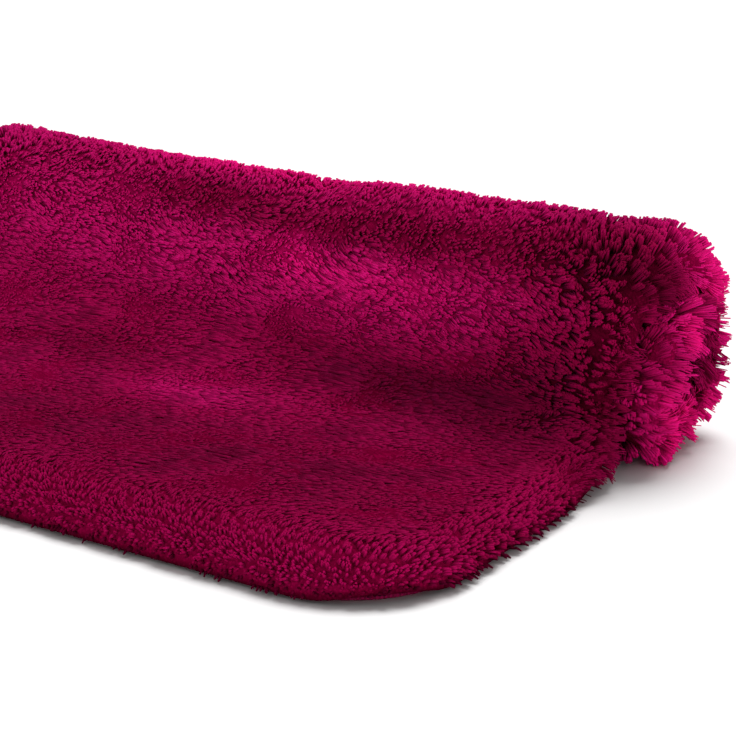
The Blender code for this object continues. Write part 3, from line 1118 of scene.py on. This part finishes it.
def cloth_finish():
    """A close canvas weave, dyed with the pile."""
    finish = Finish("dyed_canvas")
    plan = finish.laid_flat()
    threads = [
        finish.node(
            "ShaderNodeTexWave",
            {"wave_type": "BANDS", "bands_direction": way},
            {"Vector": plan, "Scale": 190.0, "Distortion": 0.6, "Detail": 1.0, "Detail Scale": 3.0},
            gives="Fac",
        )
        for way in ("X", "Y")
    ]
    weave = threads[0] * 0.5 + threads[1] * 0.5
    colour = finish.blend(finish.ease(weave, 0.2, 0.8), CANVAS_DARK, CANVAS_LIGHT)
    finish.set(
        Base_Color=finish.blend(0.25 * finish.speckle(0.020, 3.0), colour, CANVAS_WORN),
        Roughness=0.85,
        Specular_IOR_Level=0.05,
        Normal=finish.bump(weave, 0.5, 0.0006),
    )
    return finish.material


def floor_finish():
    finish = Finish("pale_floor")
    colour = finish.blend(finish.speckle(0.6), FLOOR_GREY, FLOOR_PALE)
    finish.set(Base_Color=colour, Roughness=0.75, Specular_IOR_Level=0.1)
    return finish.material


# --- the mat on its floor ---------------------------------------------------------------------


FLOOR_HALF = 9.0

# The two low lamps are kept off the floor.
Lamp = namedtuple("Lamp", "name azimuth elevation strength lights_floor")
LAMPS = [
    Lamp("right_light", 92.0, 14.0, 2.9, False),
    Lamp("back_light", 188.0, 64.0, 3.4, True),
    Lamp("front_light", 0.0, 12.0, 2.7, False),
]
LAMP_SPREAD = math.radians(38.0)
LAMP_AWAY = 1.6  # how far each stands from the middle of the mat
MAT_MIDDLE = (0.0, 0.0, 0.05)
SKY_STRENGTH = 0.50

# Where the camera looks, from which side and how high, from how far, and its lens in millimetres.
View = namedtuple("View", "at azimuth elevation away lens")
VIEW = View((0.1214, 0.0184, 0.0495), 34.9, 16.6, 1.223, 101.8)
SENSOR_WIDTH = 36.0


def dress(piece, finish):
    piece.data.materials.clear()
    piece.data.materials.append(finish)


def make_floor():
    plane = bmesh.new()
    bmesh.ops.create_grid(plane, x_segments=1, y_segments=1, size=FLOOR_HALF)
    mesh = bpy.data.meshes.new("floor")
    plane.to_mesh(mesh)
    plane.free()
    floor = added("floor", mesh)
    dress(floor, floor_finish())


def look_from(azimuth, elevation, away, at):
    """The matrix of something that far from a point, facing it. Azimuth 0 faces +Y."""
    turn, tilt = math.radians(azimuth), math.radians(elevation)
    level = math.cos(tilt)
    back = Vector((math.sin(turn) * level, -math.cos(turn) * level, math.sin(tilt)))
    right = Vector((math.cos(turn), math.sin(turn), 0.0))
    facing = Matrix((right, back.cross(right), back)).transposed().to_4x4()
    return Matrix.Translation(Vector(at) + back * away) @ facing


def make_lamps(pieces):
    lit = bpy.data.collections.new("lit_by_low_lamps")
    for piece in pieces:
        lit.objects.link(piece)
    for lamp in LAMPS:
        light = bpy.data.lights.new(lamp.name, "SUN")
        light.angle = LAMP_SPREAD
        light.energy = lamp.strength
        holder = added(lamp.name, light)
        holder.matrix_world = look_from(lamp.azimuth, lamp.elevation, LAMP_AWAY, MAT_MIDDLE)
        if not lamp.lights_floor:
            holder.light_linking.receiver_collection = lit
    world = bpy.data.worlds.new("studio")
    world.use_nodes = True
    sky = world.node_tree.nodes["Background"]
    sky.inputs["Color"].default_value = WHITE
    sky.inputs["Strength"].default_value = SKY_STRENGTH
    bpy.context.scene.world = world


def make_camera():
    camera = bpy.data.cameras.new("camera")
    camera.sensor_width = SENSOR_WIDTH
    camera.lens = VIEW.lens
    camera.clip_end = 50.0
    holder = added("camera", camera)
    holder.matrix_world = look_from(VIEW.azimuth, VIEW.elevation, VIEW.away, VIEW.at)
    bpy.context.scene.camera = holder


def make_mat():
    cloth, bed = make_base_cloth(), make_pile_bed()
    strands = make_pile()
    dress(cloth, cloth_finish())
    dress(bed, deep_pile_finish())
    yarn = yarn_finish()
    for piece in strands:
        dress(piece, yarn)
    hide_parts("mat")
    for piece in (cloth, bed, *strands):
        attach(piece, "root")
    return [cloth, bed, *strands]


mat_pieces = make_mat()
make_floor()
make_lamps(mat_pieces)
make_camera()
bpy.context.scene.view_settings.view_transform = "Standard"
